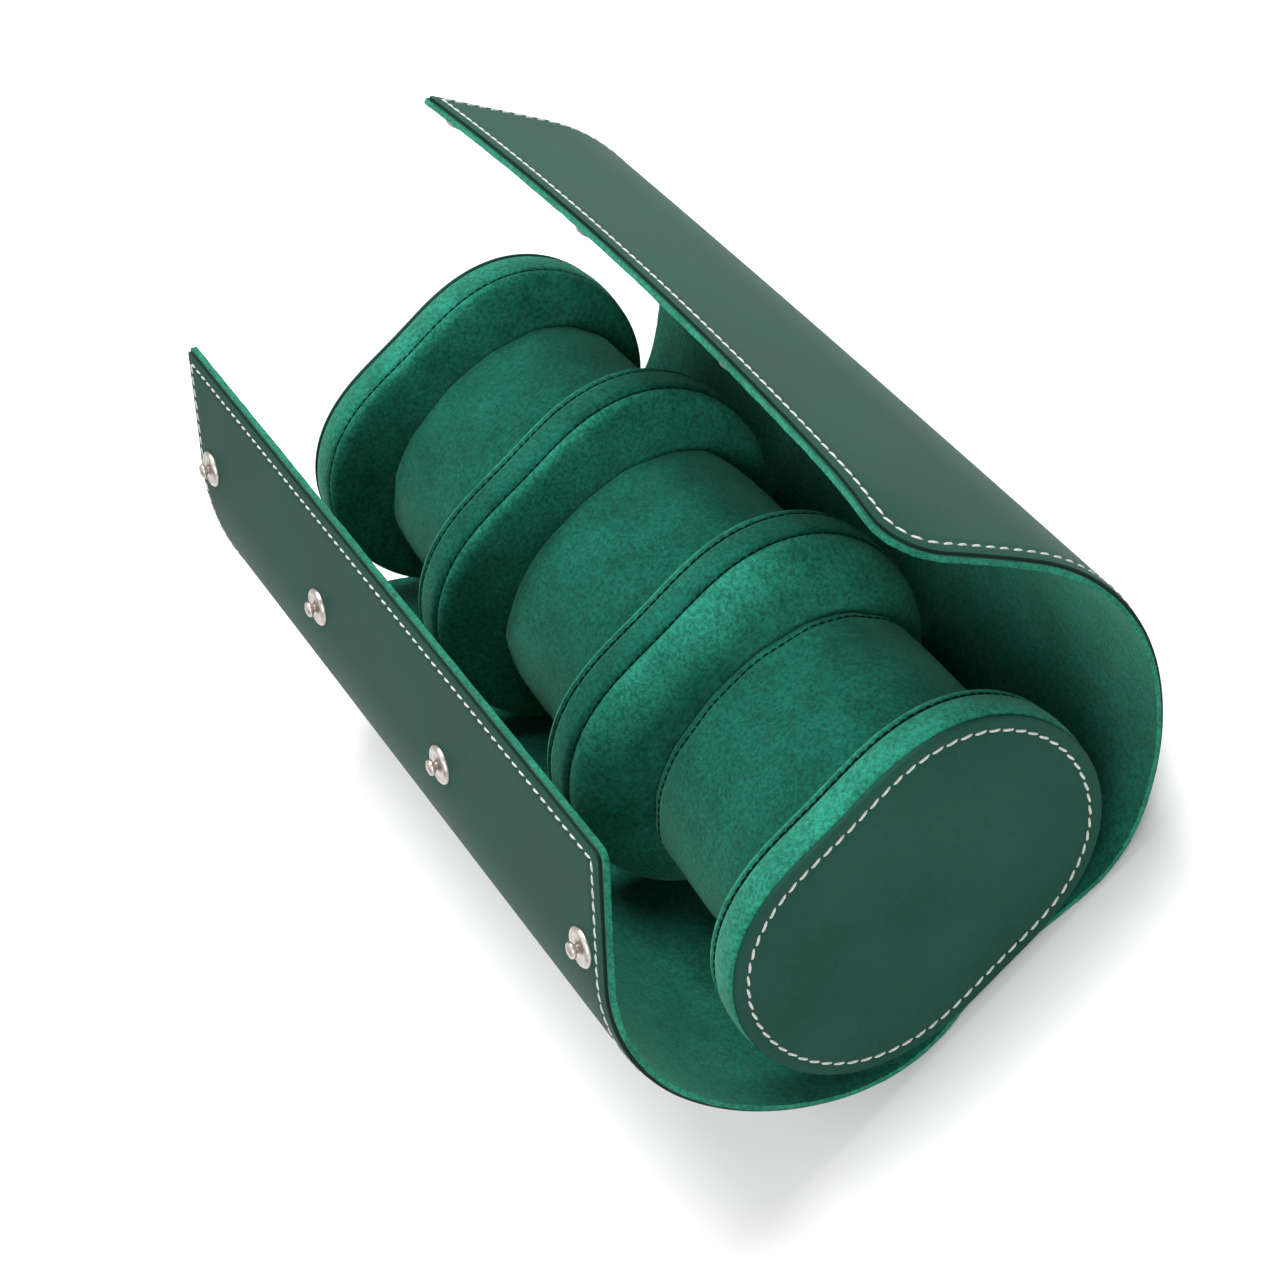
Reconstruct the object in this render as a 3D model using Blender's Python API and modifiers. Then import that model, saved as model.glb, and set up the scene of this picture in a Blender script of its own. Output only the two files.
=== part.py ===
"""A travel roll for three watches: a leather wrap lined with suede, a padded insert, pillows and snaps.

The underside of the wrap is z = 0, the insert is centred on y = 0 and x = 0 is half way along.
Sizes are in metres.
The front of the roll, with the studs, is at -Y.
"""

import math

import bmesh
import bpy
from mathutils import Matrix, Vector

# Wrap
WRAP_LENGTH = 0.230
LEATHER_THICKNESS = 0.0011
LINING_THICKNESS = 0.0010
LAYER_GAP = 0.0003
CLEARANCE = 0.0003
# Each stretch of the section, from the middle of the floor to the free edge: length and bend in degrees
FRONT_FLOOR = 0.0155
FRONT_STRETCHES = ((0.032, 44), (0.038, 34), (0.043, 49), (0.033, 0))
BACK_FLOOR = 0.026
BACK_STRETCHES = ((0.020, 35), (0.038, 33), (0.048, 51), (0.035, 0))
# Distances of the creases from the middle of the floor, measured along the sheet
FRONT_CREASES = (0.038, 0.076, 0.108)
BACK_CREASES = (0.038, 0.070, 0.136)
OPENING_TURN = math.radians(36)
SECTION_STEP = 0.0005
FLOOR_FACETS = 14
PANEL_FACETS = 8

# Insert
END_WIDTH = 0.092
END_HEIGHT = 0.0683
END_DEPTH = 0.0124
END_LEATHER_THICKNESS = 0.0013
END_LEATHER_ROUNDING = 0.0004
DIVIDER_DEPTH = 0.0154
DIVIDER_EXTRA_WIDTH = 0.0010
# Places of the dividers' middles along the insert, as shares of its length
LEFT_DIVIDER_SHARE = -0.1774
RIGHT_DIVIDER_SHARE = 0.1386
SHOULDER = 0.0031
SHOULDER_INSET = 0.0030
SEAM_INSET = 0.0005
BAND_CROWN = 0.0004
SUEDE_THICKNESS = 0.0010
DIVIDER_CROWN = 0.0005
RIGHT_DIVIDER_CROWN = 0.0065
OUTLINE_POWER = 2.5
OUTLINE_POINTS = 28
# The bend of a facing between its seam and its shoulder, along X and inwards
BEND_X_SHARE = 0.68
BEND_INSET_SHARE = 0.30
# Rings of a facing's crown, as shares of the outline, and of a band, as shares of its width
CROWN_SHARES = (0.72, 0.36)
BAND_SHARES = (0.0, 0.28, 0.72, 1.0)

# Pillows
PILLOW_WIDTH = 0.072
PILLOW_HEIGHT = 0.055
PILLOW_Y = 0.001
PILLOW_SHOULDER = 0.004
PILLOW_SHOULDER_INSET = 0.0055
PILLOW_SEAM_INSET = 0.0022
PILLOW_CROWN = 0.0011
PILLOW_OUTLINE_POWER = 2.15

# Snaps
# The snaps' spacing as a share of the wrap's length
SNAP_SPACING_SHARE = 0.3043
SNAP_COUNT = 4
STUD_FROM_EDGE = 0.030
STUD_BASE_RADIUS = 0.0045
STUD_BASE_HEIGHT = 0.0007
STUD_NECK_RADIUS = 0.0012
STUD_KNOB_RADIUS = 0.0019
STUD_KNOB_HEIGHT = 0.0013
STUD_HEIGHT = 0.0032
SOCKET_RADIUS = 0.0040
SOCKET_BORE_RADIUS = 0.0024
SOCKET_HEIGHT = 0.0021
SOCKET_ROUNDING = 0.0004
# The rivets' flat heads lie in pockets of the lining, between the two layers
RIVET_HEAD_RADIUS = 0.0036
RIVET_HEAD_THICKNESS = 0.0003
RIVET_POST_RADIUS = 0.0011
SNAP_SIDES = 12
KNOB_TOP_SHARE = 0.62

SHEET_THICKNESS = LEATHER_THICKNESS + LAYER_GAP + LINING_THICKNESS
SHEET_HALF = SHEET_THICKNESS / 2
INSERT_LENGTH = WRAP_LENGTH - 2 * CLEARANCE
INSERT_Z = SHEET_THICKNESS + CLEARANCE + BAND_CROWN + END_HEIGHT / 2
PILLOW_Z = SHEET_THICKNESS + CLEARANCE + PILLOW_HEIGHT / 2
MERGE = 0.00001
SMOOTH_ANGLE = math.radians(40)


def clear_scene():
    for obj in list(bpy.data.objects):
        bpy.data.objects.remove(obj, do_unlink=True)
    collection = bpy.data.collections.new("travel_watch_roll")
    bpy.context.scene.collection.children.link(collection)
    return collection


def material(name, colour, roughness, metallic=0.0):
    made = bpy.data.materials.new(name)
    made.use_nodes = True
    shader = made.node_tree.nodes["Principled BSDF"]
    shader.inputs["Base Color"].default_value = (*colour, 1)
    shader.inputs["Roughness"].default_value = roughness
    shader.inputs["Metallic"].default_value = metallic
    return made


def cutter_collection():
    collection = bpy.data.collections.new("cutters")
    bpy.context.scene.collection.children.link(collection)
    return collection


ROLL = clear_scene()
CUTTERS = cutter_collection()
LEATHER = material("leather", (0.035, 0.085, 0.072), 0.5)
SUEDE = material("suede", (0.012, 0.145, 0.085), 0.95)
FOAM = material("foam", (0.6, 0.6, 0.58), 0.9)
BOARD = material("board", (0.32, 0.27, 0.2), 0.9)
METAL = material("metal", (0.72, 0.69, 0.65), 0.28, 1.0)


def new_object(name, mesh, finish, carrier=None, location=(0, 0, 0), turn=0.0):
    """Adds an object whose location is in the world, and hangs it on the carrier it moves with."""
    obj = bpy.data.objects.new(name, mesh)
    ROLL.objects.link(obj)
    mesh.materials.append(finish)
    base = Vector(carrier["pivot"]) if carrier else Vector()
    obj.parent = carrier
    obj.location = Vector(location) - base
    obj.rotation_euler.x = turn
    return obj


def pivot(name, location, carrier=None):
    """An empty on a joint's axis."""
    empty = bpy.data.objects.new(name, None)
    ROLL.objects.link(empty)
    base = Vector(carrier["pivot"]) if carrier else Vector()
    empty.parent = carrier
    empty.location = Vector(location) - base
    empty["pivot"] = location
    return empty


def shade(mesh):
    mesh.shade_smooth()
    mesh.set_sharp_from_angle(angle=SMOOTH_ANGLE)


class Side:
    """One half of the wrap's section, from the middle of the floor to a free edge."""

    def __init__(self, sign, floor, stretches, creases):
        self.sign = sign
        self.floor = floor
        self.stretches = stretches
        self.creases = creases
        self.length = floor + sum(length for length, bend in stretches)
        self.edge_heading = math.radians(sum(bend for length, bend in stretches))
        self.closing_turn = (math.pi - self.edge_heading) / len(creases)

    def heading(self, distance):
        """The angle above the floor in which the sheet runs at this distance."""
        start = self.floor
        turned = 0.0
        for length, bend in self.stretches:
            part = min(max((distance - start) / length, 0.0), 1.0)
            turned += math.radians(bend) * part
            start += length
        return turned

    def place(self, distance, offset=0.0, turn=0.0):
        """(y, z) of the sheet, offset to its outer side, with every crease turned by turn."""
        steps = max(1, round(distance / SECTION_STEP))
        y = 0.0
        z = SHEET_HALF
        heading = 0.0
        for step in range(steps):
            middle = distance * (step + 0.5) / steps
            heading = self.folded(middle, turn)
            y += self.sign * math.cos(heading) * distance / steps
            z += math.sin(heading) * distance / steps
        heading = self.folded(distance, turn)
        y += self.sign * math.sin(heading) * offset
        z -= math.cos(heading) * offset
        return y, z

    def folded(self, distance, turn):
        passed = sum(1 for crease in self.creases if distance >= crease)
        return self.heading(distance) + passed * turn

    def outward_turn(self, distance):
        """The turn about X that points a piece's Z out of the sheet. Half a turn more points it in."""
        return self.sign * (self.heading(distance) - math.pi)


FRONT = Side(-1, FRONT_FLOOR, FRONT_STRETCHES, FRONT_CREASES)
BACK = Side(1, BACK_FLOOR, BACK_STRETCHES, BACK_CREASES)
LEATHER_OFFSET = SHEET_HALF - LEATHER_THICKNESS / 2
LINING_OFFSET = LINING_THICKNESS / 2 - SHEET_HALF
# The lining's face under the leather, measured outwards from the middle of the sheet
POCKET_FACE = LINING_THICKNESS - SHEET_HALF
LEATHER_CREASE = CLEARANCE / 2 + SHEET_HALF * math.tan(OPENING_TURN / 2)
LINING_CREASE = CLEARANCE / 2 + SHEET_HALF * math.tan(max(FRONT.closing_turn, BACK.closing_turn) / 2)


def strip(name, section, thickness, finish, carrier=None):
    """A panel of the wrap: its section drawn along the length, as an open surface with Solidify."""
    base = Vector(carrier["pivot"]) if carrier else Vector()
    shape = bmesh.new()
    rows = []
    for y, z in section:
        row = [shape.verts.new(Vector((x, y, z)) - base) for x in (-WRAP_LENGTH / 2, WRAP_LENGTH / 2)]
        rows.append(row)
    for low, high in zip(rows, rows[1:]):
        shape.faces.new((low[0], low[1], high[1], high[0]))
    mesh = bpy.data.meshes.new(name)
    shape.to_mesh(mesh)
    shape.free()
    obj = new_object(name, mesh, finish, carrier, base)
    solid = obj.modifiers.new("thickness", "SOLIDIFY")
    solid.thickness = thickness
    solid.offset = 0
    solid.use_even_offset = True
    shade(mesh)
    return obj


def run(side, start, end, offset, facets):
    """Points of one side's section, evenly spaced from start to end."""
    return [side.place(start + (end - start) * step / facets, offset) for step in range(facets + 1)]


def make_wrap():
    """The wrap's panels and the empties on its creases. It returns the last empty on each side."""
    layers = (
        ("leather", LEATHER_OFFSET, LEATHER_THICKNESS, LEATHER_CREASE, LEATHER),
        ("lining", LINING_OFFSET, LINING_THICKNESS, LINING_CREASE, SUEDE),
    )
    for layer, offset, thickness, crease, finish in layers:
        front = run(FRONT, 0.0, FRONT_CREASES[0] - crease, offset, FLOOR_FACETS)
        back = run(BACK, 0.0, BACK_CREASES[0] - crease, offset, FLOOR_FACETS)
        strip(layer + "_floor", front[:0:-1] + back, thickness, finish)
    carriers = []
    for side, word in ((FRONT, "front"), (BACK, "back")):
        carrier = None
        ends = side.creases[1:] + (side.length,)
        for start, end, part in zip(side.creases, ends, ("lower", "middle", "flap")):
            y, z = side.place(start)
            carrier = pivot(f"{word}_{part}_crease", (0, y, z), carrier)
            for layer, offset, thickness, crease, finish in layers:
                stop = end if end == side.length else end - crease
                section = run(side, start + crease, stop, offset, PANEL_FACETS)
                if side is FRONT:
                    section.reverse()
                strip(f"{layer}_{word}_{part}", section, thickness, finish, carrier)
        carriers.append(carrier)
    return carriers


def outline(width, height, power):
    """A rounded oval in Y and Z, centred on zero."""
    points = []
    for step in range(OUTLINE_POINTS):
        angle = 2 * math.pi * step / OUTLINE_POINTS
        across = math.copysign(abs(math.cos(angle)) ** (2 / power), math.cos(angle))
        up = math.copysign(abs(math.sin(angle)) ** (2 / power), math.sin(angle))
        points.append((across * width / 2, up * height / 2))
    return points


class Oval:
    """The outline that a padded piece follows along X."""

    def __init__(self, width, height, power, y, z):
        self.width = width
        self.height = height
        self.power = power
        self.y = y
        self.z = z

    def ring(self, shape, x, inset, share=1.0):
        points = outline((self.width - 2 * inset) * share, (self.height - 2 * inset) * share, self.power)
        return [shape.verts.new((x, y, z)) for y, z in points]


def loft(name, oval, rings, caps, finish, thickness=0.0, carrier=None):
    """A surface through rings of (x, inset, share), closed at the ends that caps names.

    A surface with an open end is made thick instead.
    """
    middle = Vector((sum(ring[0] for ring in rings) / len(rings), oval.y, oval.z))
    shape = bmesh.new()
    made = [oval.ring(shape, x - middle.x, inset, share) for x, inset, share in rings]
    for low, high in zip(made, made[1:]):
        for step in range(OUTLINE_POINTS):
            after = (step + 1) % OUTLINE_POINTS
            shape.faces.new((low[step], high[step], high[after], low[after]))
    if "start" in caps:
        shape.faces.new(made[0])
    if "end" in caps:
        shape.faces.new(made[-1][::-1])
    bmesh.ops.recalc_face_normals(shape, faces=shape.faces)
    mesh = bpy.data.meshes.new(name)
    shape.to_mesh(mesh)
    shape.free()
    obj = new_object(name, mesh, finish, carrier, middle)
    if thickness:
        solid = obj.modifiers.new("thickness", "SOLIDIFY")
        solid.thickness = thickness
        solid.offset = -1
        solid.use_even_offset = True
    shade(mesh)
    return obj


class Cushion:
    """How a padded piece is made: its outline, its rounding from seam to face, and what fills it."""

    def __init__(self, oval, shoulder, seam_inset, shoulder_inset, band_crown, core_finish):
        self.oval = oval
        self.shoulder = shoulder
        self.seam_inset = seam_inset
        self.shoulder_inset = shoulder_inset
        self.band_crown = band_crown
        self.core_finish = core_finish


def facing(name, kind, seam_x, face_x, crown, carrier):
    """A cover over one end of a padded piece, round the shoulder from the seam and crowned to the middle."""
    way = math.copysign(1, face_x - seam_x)
    edge_x = face_x - way * crown
    bend_x = seam_x + (edge_x - seam_x) * BEND_X_SHARE
    bend_inset = kind.seam_inset + (kind.shoulder_inset - kind.seam_inset) * BEND_INSET_SHARE
    rings = [
        (seam_x + way * CLEARANCE / 2, kind.seam_inset, 1.0),
        (bend_x, bend_inset, 1.0),
        (edge_x, kind.shoulder_inset, 1.0),
    ]
    for share in CROWN_SHARES:
        rings.append((face_x - way * crown * share**2, kind.shoulder_inset, share))
    return loft(name, kind.oval, rings, ("end",), SUEDE, SUEDE_THICKNESS, carrier)


def padded(names, kind, low_x, high_x, crowns, carrier=None, open_low=0.0, open_high=0.0):
    """A core in a suede cover: a band round it, and a facing over each end that isn't covered otherwise.

    open_low or open_high is the depth of the piece that covers that end instead of a facing.
    """
    core_name, band_name, low_name, high_name = names
    low_crown, high_crown = crowns
    low_seam = low_x + open_low + CLEARANCE if open_low else low_x + low_crown + kind.shoulder
    high_seam = high_x - open_high - CLEARANCE if open_high else high_x - high_crown - kind.shoulder
    start = low_seam + CLEARANCE / 2
    end = high_seam - CLEARANCE / 2
    rings = []
    for share in BAND_SHARES:
        swell = 1 - (2 * share - 1) ** 2
        inset = kind.seam_inset - (kind.seam_inset + kind.band_crown) * swell
        rings.append((start + (end - start) * share, inset, 1.0))
    loft(band_name, kind.oval, rings, (), SUEDE, SUEDE_THICKNESS, carrier)
    if low_name:
        facing(low_name, kind, low_seam, low_x, low_crown, carrier)
    if high_name:
        facing(high_name, kind, high_seam, high_x, high_crown, carrier)
    inner = SUEDE_THICKNESS + 2 * CLEARANCE
    core_low = low_seam if open_low else low_x + low_crown + inner
    core_high = high_seam if open_high else high_x - high_crown - inner
    rings = [(core_low, kind.shoulder_inset + inner, 1.0)]
    if not open_low:
        rings.append((low_seam + CLEARANCE, kind.seam_inset + inner, 1.0))
    if not open_high:
        rings.append((high_seam - CLEARANCE, kind.seam_inset + inner, 1.0))
    rings.append((core_high, kind.shoulder_inset + inner, 1.0))
    loft(core_name, kind.oval, rings, ("start", "end"), kind.core_finish, carrier=carrier)


def end_leather(name, oval, outer_x, way):
    """The flat leather facing of an end disc, a filled outline with rounded edges."""
    curve = bpy.data.curves.new(name, "CURVE")
    curve.dimensions = "2D"
    curve.fill_mode = "BOTH"
    curve.extrude = END_LEATHER_THICKNESS / 2 - END_LEATHER_ROUNDING
    curve.bevel_depth = END_LEATHER_ROUNDING
    curve.bevel_resolution = 0
    curve.offset = -END_LEATHER_ROUNDING
    spline = curve.splines.new("POLY")
    points = outline(oval.width, oval.height, oval.power)
    spline.points.add(len(points) - 1)
    for point, (y, z) in zip(spline.points, points):
        point.co = (y, z, 0, 1)
    spline.use_cyclic_u = True
    obj = bpy.data.objects.new(name, curve)
    ROLL.objects.link(obj)
    curve.materials.append(LEATHER)
    # The outline is drawn in X and Y, and this turn stands it across the roll
    across = Matrix(((0, 0, 1, 0), (1, 0, 0, 0), (0, 1, 0, 0), (0, 0, 0, 1)))
    middle_x = outer_x - way * END_LEATHER_THICKNESS / 2
    obj.matrix_world = Matrix.Translation((middle_x, oval.y, oval.z)) @ across


def make_insert():
    """The end discs and dividers. It returns the faces that bound the bays, from left to right."""
    oval = Oval(END_WIDTH, END_HEIGHT, OUTLINE_POWER, 0.0, INSERT_Z)
    disc = Cushion(oval, SHOULDER, SEAM_INSET, SHOULDER_INSET, BAND_CROWN, BOARD)
    high = INSERT_LENGTH / 2
    low = -high
    end_leather("left_end_leather", oval, low, -1)
    end_leather("right_end_leather", oval, high, 1)
    names = ("left_end_core", "left_end_band", None, "left_end_facing")
    padded(names, disc, low, low + END_DEPTH, (0.0, DIVIDER_CROWN), open_low=END_LEATHER_THICKNESS)
    names = ("right_end_core", "right_end_band", "right_end_facing", None)
    padded(names, disc, high - END_DEPTH, high, (DIVIDER_CROWN, 0.0), open_high=END_LEATHER_THICKNESS)
    wide = Oval(END_WIDTH + DIVIDER_EXTRA_WIDTH, END_HEIGHT, OUTLINE_POWER, 0.0, INSERT_Z)
    divider = Cushion(wide, SHOULDER, SEAM_INSET, SHOULDER_INSET, BAND_CROWN, BOARD)
    faces = [low + END_DEPTH]
    for word, share, high_crown in (
        ("left", LEFT_DIVIDER_SHARE, DIVIDER_CROWN),
        ("right", RIGHT_DIVIDER_SHARE, RIGHT_DIVIDER_CROWN),
    ):
        names = tuple(f"{word}_divider_{part}" for part in ("core", "band", "left_facing", "right_facing"))
        left = INSERT_LENGTH * share - DIVIDER_DEPTH / 2
        right = left + DIVIDER_DEPTH + high_crown - DIVIDER_CROWN
        padded(names, divider, left, right, (DIVIDER_CROWN, high_crown))
        faces += [left, right]
    return faces + [high - END_DEPTH]


def make_pillows(faces):
    oval = Oval(PILLOW_WIDTH, PILLOW_HEIGHT, PILLOW_OUTLINE_POWER, PILLOW_Y, PILLOW_Z)
    pillow = Cushion(oval, PILLOW_SHOULDER, PILLOW_SEAM_INSET, PILLOW_SHOULDER_INSET, 0.0, FOAM)
    for word, left, right in zip(("left", "middle", "right"), faces[::2], faces[1::2]):
        low = left + CLEARANCE
        high = right - CLEARANCE
        carrier = pivot(f"{word}_pillow_slide", ((low + high) / 2, PILLOW_Y, PILLOW_Z))
        names = tuple(f"{word}_pillow_{part}" for part in ("core", "cover", "left_end", "right_end"))
        padded(names, pillow, low, high, (PILLOW_CROWN, PILLOW_CROWN), carrier)


def turned(name, profile, location, turn, carrier):
    """A round piece: its profile, from the top on the axis down its outer side, turned about Z."""
    mesh = bpy.data.meshes.new(name)
    closed = profile[0][0] > MERGE
    edges = [(step, step + 1) for step in range(len(profile) - 1)]
    if closed:
        edges.append((len(profile) - 1, 0))
    mesh.from_pydata([(radius, 0, height) for radius, height in profile], edges, [])
    obj = new_object(name, mesh, METAL, carrier, location, turn)
    screw = obj.modifiers.new("turn", "SCREW")
    screw.steps = SNAP_SIDES
    screw.render_steps = SNAP_SIDES
    screw.use_merge_vertices = True
    screw.merge_threshold = MERGE
    return obj


def stud_profile():
    base = CLEARANCE + STUD_BASE_HEIGHT
    knob = STUD_HEIGHT - STUD_KNOB_HEIGHT
    return [
        (0, STUD_HEIGHT),
        (STUD_KNOB_RADIUS * KNOB_TOP_SHARE, STUD_HEIGHT),
        (STUD_KNOB_RADIUS, knob + STUD_KNOB_HEIGHT / 2),
        (STUD_NECK_RADIUS, knob),
        (STUD_NECK_RADIUS, base),
        (STUD_BASE_RADIUS, base - STUD_BASE_HEIGHT / 2),
        (STUD_BASE_RADIUS, CLEARANCE),
        (0, CLEARANCE),
    ]


def stud_rivet_profile():
    """The stud's rivet, with its post out through the leather. Heights are from the middle of the sheet."""
    return [
        (0, SHEET_HALF),
        (RIVET_POST_RADIUS, SHEET_HALF),
        (RIVET_POST_RADIUS, POCKET_FACE),
        (RIVET_HEAD_RADIUS, POCKET_FACE),
        (RIVET_HEAD_RADIUS, POCKET_FACE - RIVET_HEAD_THICKNESS),
        (0, POCKET_FACE - RIVET_HEAD_THICKNESS),
    ]


def socket_rivet_profile():
    """The socket's rivet, with its post in through the lining. Its Z points inwards."""
    return [
        (0, SHEET_HALF),
        (RIVET_POST_RADIUS, SHEET_HALF),
        (RIVET_POST_RADIUS, RIVET_HEAD_THICKNESS - POCKET_FACE),
        (RIVET_HEAD_RADIUS, RIVET_HEAD_THICKNESS - POCKET_FACE),
        (RIVET_HEAD_RADIUS, -POCKET_FACE),
        (0, -POCKET_FACE),
    ]


def socket_profile():
    top = CLEARANCE + SOCKET_HEIGHT
    return [
        (SOCKET_BORE_RADIUS, top - SOCKET_ROUNDING),
        (SOCKET_BORE_RADIUS + SOCKET_ROUNDING, top),
        (SOCKET_RADIUS - SOCKET_ROUNDING, top),
        (SOCKET_RADIUS, top - SOCKET_ROUNDING),
        (SOCKET_RADIUS, CLEARANCE),
        (SOCKET_BORE_RADIUS, CLEARANCE),
    ]


def bore(panel, places, side, distance, radius, low, high, carrier):
    """Cuts a round hole in a panel at each place along X, from low to high above the middle of the sheet."""
    y, z = side.place(distance)
    shape = bmesh.new()
    for x in places:
        bmesh.ops.create_cone(
            shape,
            cap_ends=True,
            segments=SNAP_SIDES,
            radius1=radius,
            radius2=radius,
            depth=high - low,
            matrix=Matrix.Translation((x, 0, (low + high) / 2)),
        )
    mesh = bpy.data.meshes.new(panel + "_bore")
    shape.to_mesh(mesh)
    shape.free()
    cutter = bpy.data.objects.new(panel + "_bore", mesh)
    CUTTERS.objects.link(cutter)
    cutter.parent = carrier
    cutter.location = Vector((0, y, z)) - Vector(carrier["pivot"])
    cutter.rotation_euler.x = side.outward_turn(distance)
    cutter.hide_render = True
    cutter.display_type = "WIRE"
    cut = bpy.data.objects[panel].modifiers.new("bore", "BOOLEAN")
    cut.operation = "DIFFERENCE"
    cut.object = cutter


def make_snaps(front_flap, back_flap):
    """Studs on the front flap, sockets on the lining of the back flap, and the rivets that hold both.

    Each socket is set where its stud lands when both flaps are closed and lie level.
    """
    stud_distance = FRONT.length - STUD_FROM_EDGE
    closed_y = FRONT.place(stud_distance, 0.0, FRONT.closing_turn)[0]
    closed_edge_y = BACK.place(BACK.length, 0.0, BACK.closing_turn)[0]
    socket_distance = BACK.length - (closed_y - closed_edge_y)
    stud_turn = FRONT.outward_turn(stud_distance)
    socket_turn = BACK.outward_turn(socket_distance)
    spacing = WRAP_LENGTH * SNAP_SPACING_SHARE
    places = [spacing * (number - (SNAP_COUNT - 1) / 2) for number in range(SNAP_COUNT)]
    pocket_radius = RIVET_HEAD_RADIUS + CLEARANCE
    pocket_floor = POCKET_FACE - RIVET_HEAD_THICKNESS - CLEARANCE
    pocket_top = POCKET_FACE + CLEARANCE
    hole_radius = RIVET_POST_RADIUS + CLEARANCE
    leather_floor = SHEET_HALF - LEATHER_THICKNESS - CLEARANCE
    above = SHEET_HALF + CLEARANCE
    front = (places, FRONT, stud_distance)
    back = (places, BACK, socket_distance)
    bore("lining_front_flap", *front, pocket_radius, pocket_floor, pocket_top, front_flap)
    bore("leather_front_flap", *front, hole_radius, leather_floor, above, front_flap)
    bore("lining_back_flap", *back, pocket_radius, pocket_floor, pocket_top, back_flap)
    bore("lining_back_flap", *back, hole_radius, -above, POCKET_FACE, back_flap)
    inward_turn = socket_turn + math.pi
    pieces = (
        ("snap_stud", stud_profile(), FRONT.place(stud_distance, SHEET_HALF), stud_turn, front_flap),
        ("snap_stud_rivet", stud_rivet_profile(), FRONT.place(stud_distance), stud_turn, front_flap),
        ("snap_socket", socket_profile(), BACK.place(socket_distance, -SHEET_HALF), inward_turn, back_flap),
        ("snap_socket_rivet", socket_rivet_profile(), BACK.place(socket_distance), inward_turn, back_flap),
    )
    for name, profile, place, turn, carrier in pieces:
        for number, x in enumerate(places, 1):
            turned(f"{name}_{number}", profile, (x, *place), turn, carrier)


front_carrier, back_carrier = make_wrap()
bay_faces = make_insert()
make_pillows(bay_faces)
make_snaps(front_carrier, back_carrier)
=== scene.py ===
"""The looks of the travel watch roll: leather and suede skins, padded pieces, seams, stitches and snaps.

Sizes are in metres. X runs along the roll, whose near end is at +X. The front, with the studs, is at -Y.
"""

import math

import bmesh
import bpy
import numpy as np
from mathutils import Matrix, Vector


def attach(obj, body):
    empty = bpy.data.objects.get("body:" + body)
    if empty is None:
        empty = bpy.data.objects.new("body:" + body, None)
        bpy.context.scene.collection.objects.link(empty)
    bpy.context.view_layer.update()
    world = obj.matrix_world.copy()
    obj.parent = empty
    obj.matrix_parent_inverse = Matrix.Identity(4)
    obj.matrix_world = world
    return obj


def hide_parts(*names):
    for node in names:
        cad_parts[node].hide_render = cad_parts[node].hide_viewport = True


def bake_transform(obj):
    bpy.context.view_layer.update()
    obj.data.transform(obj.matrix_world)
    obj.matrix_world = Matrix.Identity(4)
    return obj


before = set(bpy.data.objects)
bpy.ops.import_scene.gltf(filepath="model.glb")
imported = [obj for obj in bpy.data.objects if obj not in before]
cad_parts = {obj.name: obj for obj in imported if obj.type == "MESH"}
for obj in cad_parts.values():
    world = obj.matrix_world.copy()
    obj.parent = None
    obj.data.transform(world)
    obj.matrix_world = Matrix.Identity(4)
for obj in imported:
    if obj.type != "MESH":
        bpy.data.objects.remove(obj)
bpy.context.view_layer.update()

# Wrap. The section repeats the CAD model's stretches: length and bend in degrees
WRAP_HALF = 0.115
SHEET_HALF = 0.0012
LEATHER_LAYER = (0.00012, 0.0012)
SUEDE_LAYER = (-0.0012, -0.00002)
FRONT_FLOOR = 0.0155
FRONT_STRETCHES = ((0.032, 44), (0.038, 34), (0.043, 49), (0.033, 0))
BACK_FLOOR = 0.026
BACK_STRETCHES = ((0.020, 35), (0.038, 33), (0.048, 51), (0.035, 0))
FRONT_CREASES = (0.038, 0.076, 0.108)
BACK_CREASES = (0.038, 0.070, 0.136)
# Points this far on both sides of a crease are found for each piece, but nothing uses them
BLEND_REACH = 0.011
# A side's three skins, with the CAD panels that each stands for
SKINS = (("lower", ("floor", "lower")), ("middle", ("middle",)), ("flap", ("flap",)))
SECTION_STEP = 0.0005
ROW = 0.0022
COLUMN = 0.0032
# Distances from an edge at which the grid has a line, so that the stitched groove shows
EDGE_LINES = (0.0, 0.0005, 0.0011, 0.0018, 0.0025, 0.0030, 0.0033, 0.0036, 0.0042, 0.0052, 0.0065)
AT_EDGE = 1e-6
STITCH_INSET = 0.0033
# The suede shows beyond the leather, whose own edge is pressed down by the stitching
LEATHER_INSET = 0.0008
LEATHER_INSET_REACH = 0.006
EDGE_PRESS = 0.00035
RAGGED_EDGE = 0.00004
CORNER_RADIUS = 0.0025
NEAR_CORNER_RADIUS = 0.0125
GROOVE_DEPTH = 0.00018
GROOVE_WIDTH = 0.0006
# The wrap's ends are drawn in where they are sewn to the end discs
PINCH_DEPTH = 0.0035
PINCH_REACH = 0.018
PINCH_START_X = 0.080
PINCH_FULL_X = 0.105

# Saddle stitches: places along a stitch, and shares of the thread's radius or of the pitch
STITCH_PITCH = 0.0034
STITCH_LENGTH = 0.0031
STITCH_RADIUS = 0.00031
STITCH_SLANT = math.radians(9)
STITCH_SECTIONS = (-1.0, -0.86, -0.5, 0.0, 0.5, 0.86, 1.0)
STITCH_SIDES = 6
STITCH_END_THICKNESS = 0.55
STITCH_LIFT = 0.35
STITCH_LONGEST = 0.97
ROUTE_STEP = 0.002
EDGE_ROUTE_STEPS = 92

# Seams in the suede
SEAM_PITCH = 0.0021
SEAM_LENGTH = 0.0022
SEAM_RADIUS = 0.00030
SEAM_INSET = 0.0006

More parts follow.
